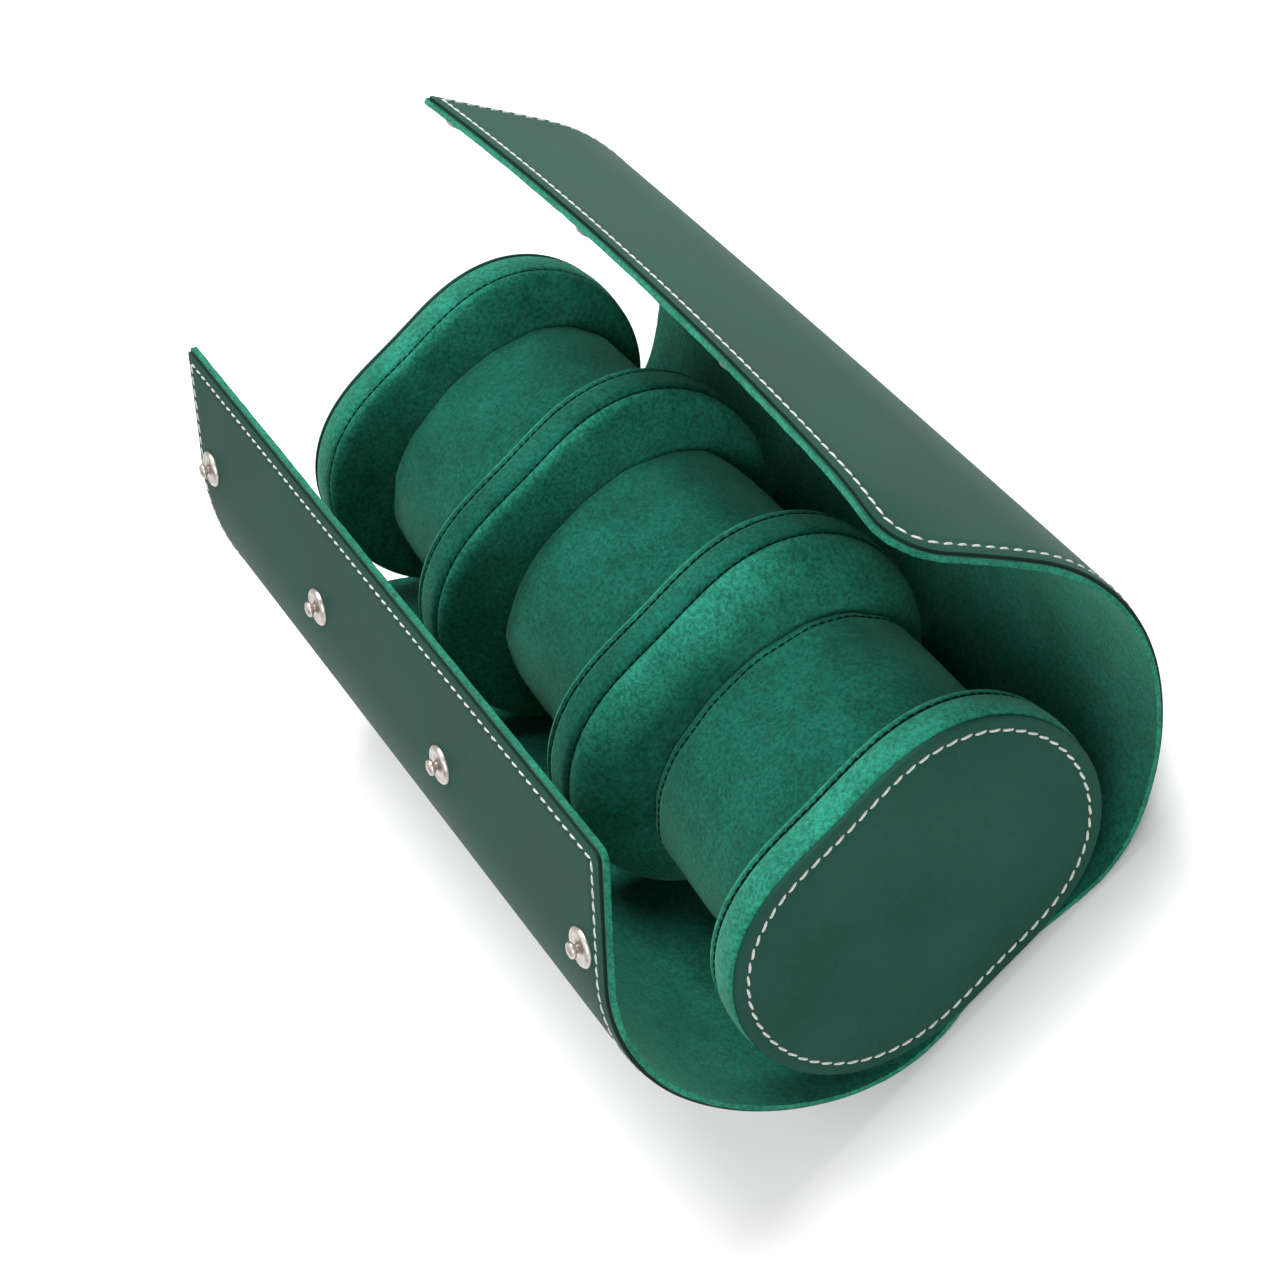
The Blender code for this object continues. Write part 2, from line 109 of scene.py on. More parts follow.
# Insert. The outline is a mean radius with waves, as turns in a circle and height
DISC_Z = 0.03725
DISC_FACE_X = 0.1147
DISC_MEAN_RADIUS = 0.04094
DISC_WAVES = ((1, 0.00006), (2, -0.00601), (3, -0.00020), (4, -0.00092))
RING_POINTS = 168
# Rings of an end disc: depth behind its face and inset from the outline. Shares shrink a ring to its middle
LEATHER_RINGS = (
    (0.0013, 0.0006), (0.0012, 0.0002), (0.0008, 0.0), (0.0004, 0.0001), (0.0001, 0.0004), (0.0, 0.0008),
    (0.0, 0.0018), (0.0, 0.0024), (GROOVE_DEPTH, 0.0032), (0.0, 0.0040), (-0.0002, 0.0056),
)
LEATHER_BACK_SHARES = (0.06, 0.5, 0.9)
LEATHER_FACE_RING = (-0.0004, 0.0070)
LEATHER_FACE_SHARES = (0.93, 0.8, 0.6, 0.4, 0.2, 0.06)
DISC_SEAM_DEPTH = 0.0098
DISC_PAD_RINGS = (
    (0.0014, 0.0030), (0.0014, 0.0009), (0.0018, 0.0002), (0.0028, -0.0002), (0.0050, -0.0004),
    (0.0072, -0.0003), (0.0084, -0.0001), (0.0091, 0.0002), (0.0095, 0.0008), (DISC_SEAM_DEPTH, 0.0016),
    (0.0101, 0.0008), (0.0106, 0.0001), (0.0113, 0.0003), (0.0119, 0.0012), (0.0123, 0.0028),
    (0.0124, 0.0060),
)
PAD_FACE_SHARES = (0.85, 0.6, 0.35, 0.1)
# Dividers: places of their middles, and rings as distance from the seam and inset from the outline
LEFT_DIVIDER_X = -0.0407
RIGHT_DIVIDER_X = 0.0318
RIGHT_DIVIDER_PUFF = 0.0060
DIVIDER_HALF = 0.0077
DIVIDER_SHOULDER_X = 0.0072
DIVIDER_SEAM_X = 0.0046
DIVIDER_GROW = 0.0005
DIVIDER_CREST_INSET = -0.0004
DIVIDER_FACE_INSET = 0.0135
SEAM_RINGS = (
    (-0.0022, -0.0005), (-0.0011, -0.0002), (-0.0004, 0.0007), (0.0, 0.0016), (0.0004, 0.0007),
    (0.0009, 0.0),
)
FLAT_SHOULDER_RINGS = ((0.0016, 0.0002), (0.0022, 0.0010), (0.0027, 0.0022))
# Insets of a flat face's rings, with the share of its crown that they reach
FLAT_FACE_RINGS = ((0.0036, 0.35), (0.0055, 0.72), (0.0080, 0.93), (0.0110, 1.0), (0.0135, 1.0))
# A puffy face swells out to the pillow beside it
PUFFY_FACE_RINGS = (
    (0.0010, 0.0001), (0.0018, 0.0001), (0.0030, 0.0006), (0.0044, 0.0017), (0.0058, 0.0033),
    (0.0072, 0.0053), (0.0083, 0.0074), (0.0089, 0.0093), (0.0091, 0.0113), (0.0091, 0.0135),
)

# Pillows: name, low and high X, and the seed of the dents and wrinkles
PILLOWS = (("left", -0.1020, -0.0487, 3), ("middle", -0.0327, 0.0238, 7), ("right", 0.0458, 0.1020, 11))
PILLOW_Z = 0.0307
PILLOW_Y = 0.001
PILLOW_HALF_WIDTH = 0.0370
PILLOW_HALF_HEIGHT = 0.0278
PILLOW_POWER = 2.15
PILLOW_ROUNDING = 0.0026
PILLOW_CROWN = 0.0010
# Rings along a pillow, closer at its ends, and rings of its end panels, as shares
PILLOW_RINGS = (*np.linspace(0.0, 0.12, 9), *np.linspace(0.15, 0.85, 24), *np.linspace(0.88, 1.0, 9))
PILLOW_END_SHARES = (0.08, 0.3, 0.55, 0.8, 0.93)
PILLOW_SEAM_FROM_END = 0.0036
PILLOW_SEAM_RADIUS = 0.00026
PILLOW_SEAM_DIP = 0.0004
PILLOW_SEAM_DIP_WIDTH = 0.0006
# Wrinkles run in from a pillow's ends, and are strongest on top of the right pillow's near end
WRINKLE = 0.00022
WRINKLE_REACH = 0.010
DENT = 0.00028
# Waves round a pillow: share of the full height, waves in a turn, and turn from end to end in radians
WRINKLE_WAVES = ((1.0, 9, 0), (0.7, 17, 5))
DENT_WAVES = ((1.0, 3, 4), (0.6, 5, -7))
NEAR_WRINKLES = 3.5
NEAR_WRINKLES_ANGLE = 0.5

# Snaps: rings as radius and height above the sheet
STUD_FROM_EDGE = 0.030
SOCKET_FROM_EDGE = 0.00658
SNAP_SPACING = 0.070
SNAP_COUNT = 4
SNAP_SIDES = 40
STUD_RINGS = (
    (0.0002, 0.0032), (0.0010, 0.0031), (0.0017, 0.0028), (0.0019, 0.0023), (0.0017, 0.0019),
    (0.0011, 0.0016), (0.0010, 0.0012), (0.0018, 0.0010), (0.0030, 0.00085), (0.0035, 0.0010),
    (0.0041, 0.0009), (0.0045, 0.0005), (0.0045, -0.0001),
)
SOCKET_RINGS = (
    (0.0002, 0.0002), (0.0026, 0.0002), (0.0026, 0.0017), (0.0028, 0.0020), (0.0032, 0.0020),
    (0.0036, 0.0016), (0.0037, 0.0008), (0.0041, 0.0004), (0.0041, -0.0001),
)

# Edges sharper than these stay sharp
SKIN_SHARP = math.radians(38)
PAD_SHARP = math.radians(50)
METAL_SHARP = math.radians(60)

# Camera, fitted to the photograph
CAMERA_PLACE = (0.579116, 0.039704, 0.521697 + DISC_Z)
CAMERA_AXES = (
    (0.444273, 0.695588, -0.564606),
    (-0.494337, 0.715926, 0.493032),
    (0.747163, 0.060065, 0.661922),
)
CAMERA_FOCAL_PIXELS = 3346.25
PHOTO_PIXELS = 1262
SENSOR = 36.0

# Studio. Lamps are name, place, size and power. From the start distance to the full one, the floor turns
# plain white for the camera
LAMPS = (
    ("key", (-0.25, 0.50, 1.15), 0.8, 22.5),
    ("fill", (1.0, -0.45, 0.8), 0.8, 10.5),
    ("front", (-0.3, -0.6, 1.0), 1.0, 3.0),
)
LAMP_TARGET = (0, 0, 0.04)
WORLD_STRENGTH = 0.34
FLOOR_SIZE = 30
FLOOR_Z = -0.0004
WHITE_START = 0.3
WHITE_FULL = 0.8


def smooth(share):
    """An eased share from 0 to 1, with no slope at either end."""
    share = np.clip(share, 0.0, 1.0)
    return share * share * (3 - 2 * share)


def principled(name):
    """A new material, its node tree and its shader."""
    made = bpy.data.materials.new(name)
    made.use_nodes = True
    return made, made.node_tree, made.node_tree.nodes["Principled BSDF"]


def coordinates(tree):
    """The piece's own coordinates, which are the roll's."""
    return tree.nodes.new("ShaderNodeTexCoord").outputs["Object"]


def noise(tree, scale, detail, roughness=0.5):
    made = tree.nodes.new("ShaderNodeTexNoise")
    made.inputs["Scale"].default_value = scale
    made.inputs["Detail"].default_value = detail
    made.inputs["Roughness"].default_value = roughness
    tree.links.new(coordinates(tree), made.inputs["Vector"])
    return made.outputs["Fac"]


def ramp(tree, source, stops):
    """A colour from (position, colour) stops, driven by a texture's value."""
    made = tree.nodes.new("ShaderNodeValToRGB")
    for element, (position, colour) in zip(made.color_ramp.elements, stops):
        element.position = position
        element.color = (*colour, 1)
    tree.links.new(source, made.inputs["Fac"])
    return made.outputs["Color"]


def multiplied(tree, share, first, second):
    """The first colour multiplied by the second, by a share of the full effect."""
    made = tree.nodes.new("ShaderNodeMix")
    made.data_type = "RGBA"
    made.blend_type = "MULTIPLY"
    made.inputs["Factor"].default_value = share
    tree.links.new(first, made.inputs["A"])
    tree.links.new(second, made.inputs["B"])
    return made.outputs["Result"]


def bump(tree, shader, heights):
    """Chains bump nodes from (socket, strength, distance)."""
    last = None
    for socket, strength, distance in heights:
        made = tree.nodes.new("ShaderNodeBump")
        made.inputs["Strength"].default_value = strength
        made.inputs["Distance"].default_value = distance
        tree.links.new(socket, made.inputs["Height"])
        if last:
            tree.links.new(last.outputs["Normal"], made.inputs["Normal"])
        last = made
    tree.links.new(last.outputs["Normal"], shader.inputs["Normal"])


def vary_roughness(tree, shader, source, low, high):
    made = tree.nodes.new("ShaderNodeMapRange")
    made.inputs["To Min"].default_value = low
    made.inputs["To Max"].default_value = high
    tree.links.new(source, made.inputs["Value"])
    tree.links.new(made.outputs["Result"], shader.inputs["Roughness"])


def leather_material(name, dark, light):
    """Smooth leather with a fine grain and a slightly uneven dye."""
    made, tree, shader = principled(name)
    broad = noise(tree, 28, 3)
    fine = noise(tree, 900, 4, 0.6)
    tone = ramp(tree, broad, ((0.3, dark), (0.72, light)))
    speck = ramp(tree, fine, ((0.25, (0.8, 0.8, 0.8)), (0.75, (1.12, 1.12, 1.12))))
    tree.links.new(multiplied(tree, 0.6, tone, speck), shader.inputs["Base Color"])
    grain = tree.nodes.new("ShaderNodeTexVoronoi")
    grain.feature = "SMOOTH_F1"
    grain.inputs["Scale"].default_value = 1300
    tree.links.new(coordinates(tree), grain.inputs["Vector"])
    bump(tree, shader, (
        (broad, 0.25, 0.0010),
        (grain.outputs["Distance"], 0.22, 0.00012),
        (fine, 0.15, 0.00008),
    ))
    vary_roughness(tree, shader, broad, 0.52, 0.70)
    shader.inputs["Specular IOR Level"].default_value = 0.08
    return made


def suede_material(name, dark, light, glow):
    """Suede with a mottled nap, brushed patches and a soft sheen in the colour of the glow."""
    made, tree, shader = principled(name)
    brushed = noise(tree, 75, 5, 0.62)
    nap = noise(tree, 1000, 5, 0.8)
    fuzz = noise(tree, 3600, 2, 0.6)
    tone = ramp(tree, brushed, ((0.32, dark), (0.70, light)))
    speck = ramp(tree, nap, ((0.40, (0.42, 0.42, 0.42)), (0.60, (1.46, 1.46, 1.46))))
    tree.links.new(multiplied(tree, 0.75, tone, speck), shader.inputs["Base Color"])
    bump(tree, shader, ((brushed, 0.20, 0.0006), (nap, 0.8, 0.0004), (fuzz, 0.4, 0.00012)))
    shader.inputs["Roughness"].default_value = 0.95
    shader.inputs["Specular IOR Level"].default_value = 0.12
    shader.inputs["Sheen Weight"].default_value = 0.35
    shader.inputs["Sheen Roughness"].default_value = 0.35
    shader.inputs["Sheen Tint"].default_value = (*glow, 1)
    return made


def thread_material(name, colour, shade):
    """Waxed thread, with painted shade between its strands."""
    made, tree, shader = principled(name)
    strands = noise(tree, 2600, 2)
    tree.links.new(ramp(tree, strands, ((0.3, shade), (0.65, colour))), shader.inputs["Base Color"])
    bump(tree, shader, ((strands, 0.5, 0.00012),))
    shader.inputs["Roughness"].default_value = 0.9
    shader.inputs["Specular IOR Level"].default_value = 0.04
    return made


def metal_material(name):
    """Plated metal with light wear."""
    made, tree, shader = principled(name)
    wear = noise(tree, 700, 4)
    tone = ramp(tree, wear, ((0.3, (0.34, 0.30, 0.275)), (0.7, (0.52, 0.475, 0.44))))
    tree.links.new(tone, shader.inputs["Base Color"])
    vary_roughness(tree, shader, wear, 0.24, 0.42)
    bump(tree, shader, ((wear, 0.12, 0.0001),))
    shader.inputs["Metallic"].default_value = 1.0
    return made


LEATHER = leather_material("leather_green", (0.0066, 0.042, 0.029), (0.0115, 0.058, 0.041))
LEATHER_EDGE = leather_material("leather_cut_edge", (0.003, 0.012, 0.009), (0.006, 0.020, 0.015))
SUEDE = suede_material("suede_green", (0.0030, 0.070, 0.045), (0.0068, 0.122, 0.081), (0.30, 0.95, 0.66))
# Lighter copy of the suede for the discs and dividers' faces: painted light on faces the lamps leave dark
SUEDE_PAINTED_LIGHT = suede_material(
    "suede_pad_green_painted_light", (0.0105, 0.138, 0.088), (0.0220, 0.235, 0.154), (0.40, 0.95, 0.70),
)
# The suede's cut edge is lighter than the suede: a painted highlight where its nap catches the light
SUEDE_EDGE_HIGHLIGHT = suede_material("suede_cut_edge_painted_highlight", (0.007, 0.115, 0.070), (0.018, 0.200, 0.128), (0.40, 1.0, 0.75))
# Near-black thread for the suede's seams: the stitches are real, their darkness is painted shade of the
# grooves
SEAM_THREAD_SHADE = thread_material("seam_thread_painted_shade", (0.0008, 0.012, 0.008), (0.0004, 0.006, 0.004))
WHITE_THREAD = thread_material("white_thread", (0.60, 0.61, 0.56), (0.36, 0.37, 0.34))
METAL = metal_material("nickel")


class Side:
    """One half of the wrap, from the middle of the floor to a free edge.

    The swell is an outward bulge: height, distance of its middle, reach, and 1 where only the far end has it.
    The bow, twist and curl are turns: angle, and the distances at which each starts and is full. The bow is
    greatest half way along the roll and the twist at the far end. The curl grows from its own X to the near
    end.
    """

    def __init__(self, word, sign, floor, stretches, creases, swell, bow, twist, curl, near_corner):
        self.word = word
        self.sign = sign
        lengths = [0.0, floor]
        headings = [0.0, 0.0]
        for length, bend in stretches:
            lengths.append(lengths[-1] + length)
            headings.append(headings[-1] + math.radians(bend))
        self.lengths = lengths
        self.headings = headings
        self.length = lengths[-1]
        self.creases = creases
        self.swell = swell
        self.bow = bow
        self.twist = twist
        self.curl = curl
        self.near_corner = near_corner
        self.sections = {}

    def section(self, x):
        """Distances, y, z and headings along the sheet's middle at this x."""
        key = round(x, 6)
        if key not in self.sections:
            distance = np.arange(0.0, self.length + SECTION_STEP, SECTION_STEP)
            heading = np.interp(distance, self.lengths, self.headings)
            heading = heading + self.lean(distance, x)
            middle = (heading[1:] + heading[:-1]) / 2
            y = self.sign * np.concatenate(([0.0], np.cumsum(np.cos(middle) * SECTION_STEP)))
            z = SHEET_HALF + np.concatenate(([0.0], np.cumsum(np.sin(middle) * SECTION_STEP)))
            self.sections[key] = (distance, y, z, heading)
        return self.sections[key]

    def lean(self, distance, x):
        """Extra heading from the bow, the twist and the curl."""
        share = x / WRAP_HALF
        bow_turn, bow_start, bow_end = self.bow
        twist_turn, twist_start, twist_end = self.twist
        curl_turn, curl_start, curl_end, curl_x = self.curl
        rise = smooth((distance - bow_start) / (bow_end - bow_start))
        turned = -bow_turn * (1 - share**2) * rise
        rise = smooth((distance - twist_start) / (twist_end - twist_start))
        turned = turned - twist_turn * (1 - share) / 2 * rise
        rise = smooth((distance - curl_start) / (curl_end - curl_start))
        return turned + curl_turn * smooth((x - curl_x) / (WRAP_HALF - curl_x)) * rise

    def rounded(self, distance, x):
        """Draws the free edge's corners in to an arc."""
        radius = self.near_corner if x > 0 else CORNER_RADIUS
        u = abs(x) - (WRAP_HALF - radius)
        v = distance - (self.length - radius)
        if u <= 0 or v <= 0:
            return distance, x
        scale = max(u, v) / math.hypot(u, v)
        return self.length - radius + v * scale, math.copysign(WRAP_HALF - radius + u * scale, x)

    def place(self, distance, x, offset):
        """The point of the sheet, offset to its outer side, and the outward normal."""
        distance, x = self.rounded(distance, x)
        distances, ys, zs, headings = self.section(x)
        y = np.interp(distance, distances, ys)
        z = np.interp(distance, distances, zs)
        heading = np.interp(distance, distances, headings)
        normal = Vector((0.0, self.sign * math.sin(heading), -math.cos(heading)))
        height, centre, reach, far = self.swell
        bulge = height * math.exp(-(((distance - centre) / reach) ** 2)) * (1 - far * x / WRAP_HALF) / 2
        pinched = smooth((abs(x) - PINCH_START_X) / (PINCH_FULL_X - PINCH_START_X))
        drawn = PINCH_DEPTH * math.exp(-((distance / PINCH_REACH) ** 2)) * pinched
        at = Vector((x - math.copysign(drawn, x), y, z)) + normal * (offset + bulge)
        return at, normal


FRONT = Side(
    "front", -1, FRONT_FLOOR, FRONT_STRETCHES, FRONT_CREASES,
    swell=(0.0026, 0.085, 0.026, 1),
    bow=(0.0, 0.0, 1.0),
    twist=(math.radians(0.4), 0.030, 0.070),
    curl=(0.0, 0.0, 1.0, 0.0),
    near_corner=CORNER_RADIUS,
)
BACK = Side(
    "back", 1, BACK_FLOOR, BACK_STRETCHES, BACK_CREASES,
    swell=(-0.0010, 0.085, 0.030, 1),
    bow=(math.radians(3.8), 0.085, 0.125),
    twist=(math.radians(0.3), 0.085, 0.125),
    curl=(math.radians(4), 0.128, 0.160, 0.085),
    near_corner=NEAR_CORNER_RADIUS,
)


def mesh_object(name, points, faces, finishes, finish_of=None, sharp=SKIN_SHARP):
    """A smooth mesh object. finish_of gives each face its place in the finishes."""
    mesh = bpy.data.meshes.new(name)
    mesh.from_pydata([tuple(p) for p in points], [], faces)
    for finish in finishes:
        mesh.materials.append(finish)
    if finish_of:
        mesh.polygons.foreach_set("material_index", finish_of)
    mesh.update()
    obj = bpy.data.objects.new(name, mesh)
    bpy.context.scene.collection.objects.link(obj)
    mesh.shade_smooth()
    mesh.set_sharp_from_angle(angle=sharp)
    return obj


def columns():
    """Places along X, with lines close to both ends."""
    inner = WRAP_HALF - EDGE_LINES[-1]
    count = round(2 * inner / COLUMN)
    middle = [-inner + 2 * inner * step / count for step in range(1, count)]
    edge = [WRAP_HALF - line for line in EDGE_LINES]
    return [-x for x in edge] + middle + edge[::-1]


def rows(start, stop, length):
    """Distances from start to stop, with lines close to the free edge."""
    last = stop - EDGE_LINES[-1] if stop == length else stop
    count = max(2, round((last - start) / ROW))
    found = [start + (last - start) * step / count for step in range(count + 1)]
    if stop == length:
        found += [length - line for line in EDGE_LINES[-2::-1]]
    return found


def leather_point(side, distance, x, level, to_edge):
    """A point of the leather, drawn in from the edge, with the stitched groove in its outer face."""
    if level == LEATHER_LAYER[1]:
        level -= GROOVE_DEPTH * math.exp(-(((to_edge - STITCH_INSET) / GROOVE_WIDTH) ** 2))
        level -= EDGE_PRESS * max(0.0, 1 - to_edge / STITCH_INSET) ** 2
    reach = LEATHER_INSET_REACH
    distance -= LEATHER_INSET * smooth((distance - side.length + reach) / reach)
    return side.place(distance, x * (WRAP_HALF - LEATHER_INSET) / WRAP_HALF, level)[0]


def skin_faces(wide, tall, sign):
    """Faces of three stacked grids, closed at their borders, and 1 for each face of a cut edge."""
    size = wide * tall
    faces = []
    kinds = []

    def quad(a, b, c, d, kind):
        faces.append((a, b, c, d) if sign > 0 else (d, c, b, a))
        kinds.append(kind)

    for i in range(tall - 1):
        for j in range(wide - 1):
            a = i * wide + j
            quad(a, a + wide, a + wide + 1, a + 1, 0)
            b = 2 * size + a
            quad(b, b + 1, b + wide + 1, b + wide, 0)
    for step in range(2):
        for i in range(tall - 1):
            top = step * size + i * wide
            under = top + size
            quad(top, under, under + wide, top + wide, 1)
            quad(top + wide - 1, top + 2 * wide - 1, under + 2 * wide - 1, under + wide - 1, 1)
        top = step * size
        under = top + size
        last = (tall - 1) * wide
        for j in range(wide - 1):
            quad(top + j, top + j + 1, under + j + 1, under + j, 1)
            quad(top + last + j, under + last + j, under + last + j + 1, top + last + j + 1, 1)
    return faces, kinds


def skin(name, side, start, stop, layer, finishes, ragged):
    """A stretch of one layer of the wrap, as a thin closed solid."""
    low, high = layer
    xs = columns()
    distances = rows(start, stop, side.length)
    random = np.random.default_rng(len(name) + round(start * 1e4))
    points = []
    for level in (high, (low + high) / 2, low):
        for distance in distances:
            for x in xs:
                to_edge = WRAP_HALF - abs(x)
                if stop == side.length:
                    to_edge = min(to_edge, side.length - distance)
                if layer == LEATHER_LAYER:
                    at = leather_point(side, distance, x, level, to_edge)
                else:
                    at = side.place(distance, x, level)[0]
                if ragged and to_edge < AT_EDGE:
                    at += Vector(random.normal(0, ragged, 3))
                points.append(at)
    faces, kinds = skin_faces(len(xs), len(distances), side.sign)
    return mesh_object(name, points, faces, finishes, kinds)


def stitch_shape(points, faces, at, along, normal, length, radius):
    """Adds one stitch: a short thread that dives into the leather at both ends."""
    across = normal.cross(along).normalized()
    first = len(points)
    for share in STITCH_SECTIONS:
        bend = 1 - share**4
        lift = radius * (STITCH_LIFT * bend - (1 - bend))
        centre = at + along * (share * length / 2) + normal * lift
        thick = radius * (STITCH_END_THICKNESS + (1 - STITCH_END_THICKNESS) * bend)
        for step in range(STITCH_SIDES):
            angle = 2 * math.pi * step / STITCH_SIDES
            points.append(centre + across * (math.cos(angle) * thick) + normal * (math.sin(angle) * thick))
    last = first + (len(STITCH_SECTIONS) - 1) * STITCH_SIDES
    for ring in range(first, last, STITCH_SIDES):
        for step in range(STITCH_SIDES):
            a = ring + step
            b = ring + (step + 1) % STITCH_SIDES
            faces.append((a, b, b + STITCH_SIDES, a + STITCH_SIDES))
    faces.append(tuple(first + step for step in range(STITCH_SIDES))[::-1])
    faces.append(tuple(last + step for step in range(STITCH_SIDES)))


def stitches(
    name, route, finish, pitch=STITCH_PITCH, length=STITCH_LENGTH, radius=STITCH_RADIUS, closed=False,
    slant=STITCH_SLANT,
):
    """Stitches along a route of (point, outward normal)."""
    points = []
    faces = []
    places = [at for at, normal in route]
    if closed:
        places.append(places[0])
    gaps = [(b - a).length for a, b in zip(places, places[1:])]
    total = sum(gaps)
    count = max(1, round(total / pitch))
    run = 0.0
    index = 0
    for number in range(count):
        target = (number + 0.5) * total / count
        while run + gaps[index] < target and index < len(gaps) - 1:
            run += gaps[index]
            index += 1
        share = (target - run) / gaps[index]
        at = places[index].lerp(places[index + 1], share)
        normal = route[index][1].lerp(route[(index + 1) % len(route)][1], share).normalized()
        along = (places[index + 1] - places[index]).normalized()
        along = Matrix.Rotation(slant, 3, normal) @ along
        stitch_shape(points, faces, at, along, normal, min(length, STITCH_LONGEST * total / count), radius)
    return mesh_object(name, points, faces, [finish])


def blend_over(obj, side, number):
    """Finds points on both sides of one crease of its side, which go unused, and bakes the piece's transform.
    """
    crease = side.creases[number]
    start = side.place(crease - BLEND_REACH, 0.0, 0.0)[0]
    end = side.place(crease + BLEND_REACH, 0.0, 0.0)[0]
    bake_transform(obj)


def end_stitches(side, number, tag, start, stop):
    """Stitches along both ends of one skin."""
    top = stop - STITCH_INSET if stop == side.length else stop
    count = round((top - start) / ROUTE_STEP)
    for word, end in (("left", -1), ("right", 1)):
        route = []
        for step in range(count + 1):
            distance = start + (top - start) * step / count
            x = end * (WRAP_HALF - STITCH_INSET)
            route.append(side.place(distance, x, LEATHER_LAYER[1] - GROOVE_DEPTH))
        obj = stitches(f"end_stitches_{side.word}_{tag}_{word}", route, WHITE_THREAD)
        blend_over(obj, side, number)


def edge_stitches(side):
    """Stitches along the free edge."""
    route = []
    inner = WRAP_HALF - STITCH_INSET
    for step in range(EDGE_ROUTE_STEPS + 1):
        x = -inner + 2 * inner * step / EDGE_ROUTE_STEPS
        route.append(side.place(side.length - STITCH_INSET, x, LEATHER_LAYER[1] - GROOVE_DEPTH))
    obj = stitches(f"edge_stitches_{side.word}", route, WHITE_THREAD)
    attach(obj, f"{side.word}_flap")


def wrap_side(side):
    """Skins and stitches of one side, in three stretches that each hold one crease."""
    c = side.creases
    borders = [0.0, (c[0] + c[1]) / 2, (c[1] + c[2]) / 2, side.length]
    for number, (tag, panels) in enumerate(SKINS):
        start, stop = borders[number : number + 2]
        for layer, extent, finishes, ragged, slot in (
            ("leather", LEATHER_LAYER, [LEATHER, LEATHER_EDGE], 0.0, "leather"),
            ("lining", SUEDE_LAYER, [SUEDE, SUEDE_EDGE_HIGHLIGHT], RAGGED_EDGE, "suede"),
        ):
            obj = skin(f"{layer}_skin_{side.word}_{tag}", side, start, stop, extent, finishes, ragged)
            nodes = [
                f"{layer}_floor" if part == "floor" else f"{layer}_{side.word}_{part}"
                for part in panels
            ]
            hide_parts(*nodes)
            blend_over(obj, side, number)
        end_stitches(side, number, tag, start, stop)
    edge_stitches(side)


def disc_ring(x, inset, share=1.0, grow=0.0):
    """Points of the end discs' outline at x, drawn in by the inset. The angle is from straight up."""
    found = []
    for step in range(RING_POINTS):
        angle = 2 * math.pi * step / RING_POINTS
        radius = DISC_MEAN_RADIUS + sum(height * math.cos(turns * angle) for turns, height in DISC_WAVES)
        radius = (radius + grow - inset) * share
        found.append((x, radius * math.sin(angle), DISC_Z + radius * math.cos(angle)))
    return found


def loft(name, rings, finish):
    """A closed surface through rings of points. Each end is closed with a fan to its middle."""
    points = [p for ring in rings for p in ring]
    count = len(rings[0])
    faces = []
    for ring in range(len(rings) - 1):
        for step in range(count):
            a = ring * count + step
            b = ring * count + (step + 1) % count
            faces.append((a, b, b + count, a + count))
    for ring, flip in ((0, True), (len(rings) - 1, False)):
        middle = len(points)
        points.append(tuple(np.mean(rings[ring], axis=0)))
        for step in range(count):
            a = ring * count + step
            b = ring * count + (step + 1) % count
            faces.append((a, middle, b) if flip else (b, middle, a))
    shape = bmesh.new()
    verts = [shape.verts.new(p) for p in points]
    for face in faces:
        shape.faces.new([verts[v] for v in face])
    bmesh.ops.recalc_face_normals(shape, faces=shape.faces)
    mesh = bpy.data.meshes.new(name)
    shape.to_mesh(mesh)
    shape.free()
    mesh.materials.append(finish)
    obj = bpy.data.objects.new(name, mesh)
    bpy.context.scene.collection.objects.link(obj)
    mesh.shade_smooth()
    mesh.set_sharp_from_angle(angle=PAD_SHARP)
    return obj


def ring_stitches(name, ring, middle, radius):
    """Thread round a ring of points, in the groove where two pieces of suede are sewn, near-black as painted
    shade.
    """
    route = [(Vector(p), (Vector(p) - middle).normalized()) for p in ring]
    return stitches(
        name, route, SEAM_THREAD_SHADE, pitch=SEAM_PITCH, length=SEAM_LENGTH, radius=radius, closed=True, slant=0.0,
    )


def seam(name, x, grow=0.0):
    """The seam of a disc or divider at x."""
    ring = disc_ring(x, SEAM_INSET, 1.0, grow)
    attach(ring_stitches(name, ring, Vector((x, 0, DISC_Z)), SEAM_RADIUS), "base")


def end_disc(word, way):
    """An end disc: the leather facing with its stitches, and the padded suede body behind it."""

    def x(depth):
        return way * (DISC_FACE_X - depth)

    back_depth, back_inset = LEATHER_RINGS[0]
    face_depth, face_inset = LEATHER_FACE_RING
    rings = [disc_ring(x(back_depth), back_inset, share) for share in LEATHER_BACK_SHARES]
    rings += [disc_ring(x(depth), inset) for depth, inset in LEATHER_RINGS]
    rings += [disc_ring(x(face_depth), face_inset, share) for share in LEATHER_FACE_SHARES]
    leather = loft(f"{word}_disc_leather", rings, LEATHER)
    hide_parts(f"{word}_end_leather")
    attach(leather, "base")
    route = [(Vector(p), Vector((way, 0, 0))) for p in disc_ring(x(GROOVE_DEPTH), STITCH_INSET)]
    if way < 0:
        route.reverse()
    thread = stitches(f"{word}_disc_stitches", route, WHITE_THREAD, closed=True)
    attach(thread, "base")
    rings = [disc_ring(x(depth), inset) for depth, inset in DISC_PAD_RINGS]
    depth, inset = DISC_PAD_RINGS[-1]
    rings += [disc_ring(x(depth), inset, share) for share in PAD_FACE_SHARES]
    # The pad takes the lighter copy of the suede, which is painted light
    pad = loft(f"{word}_disc_pad", rings, SUEDE_PAINTED_LIGHT)
    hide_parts(f"{word}_end_band", f"{word}_end_facing", f"{word}_end_core")
    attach(pad, "base")
    seam(f"{word}_disc_seam", x(DISC_SEAM_DEPTH))


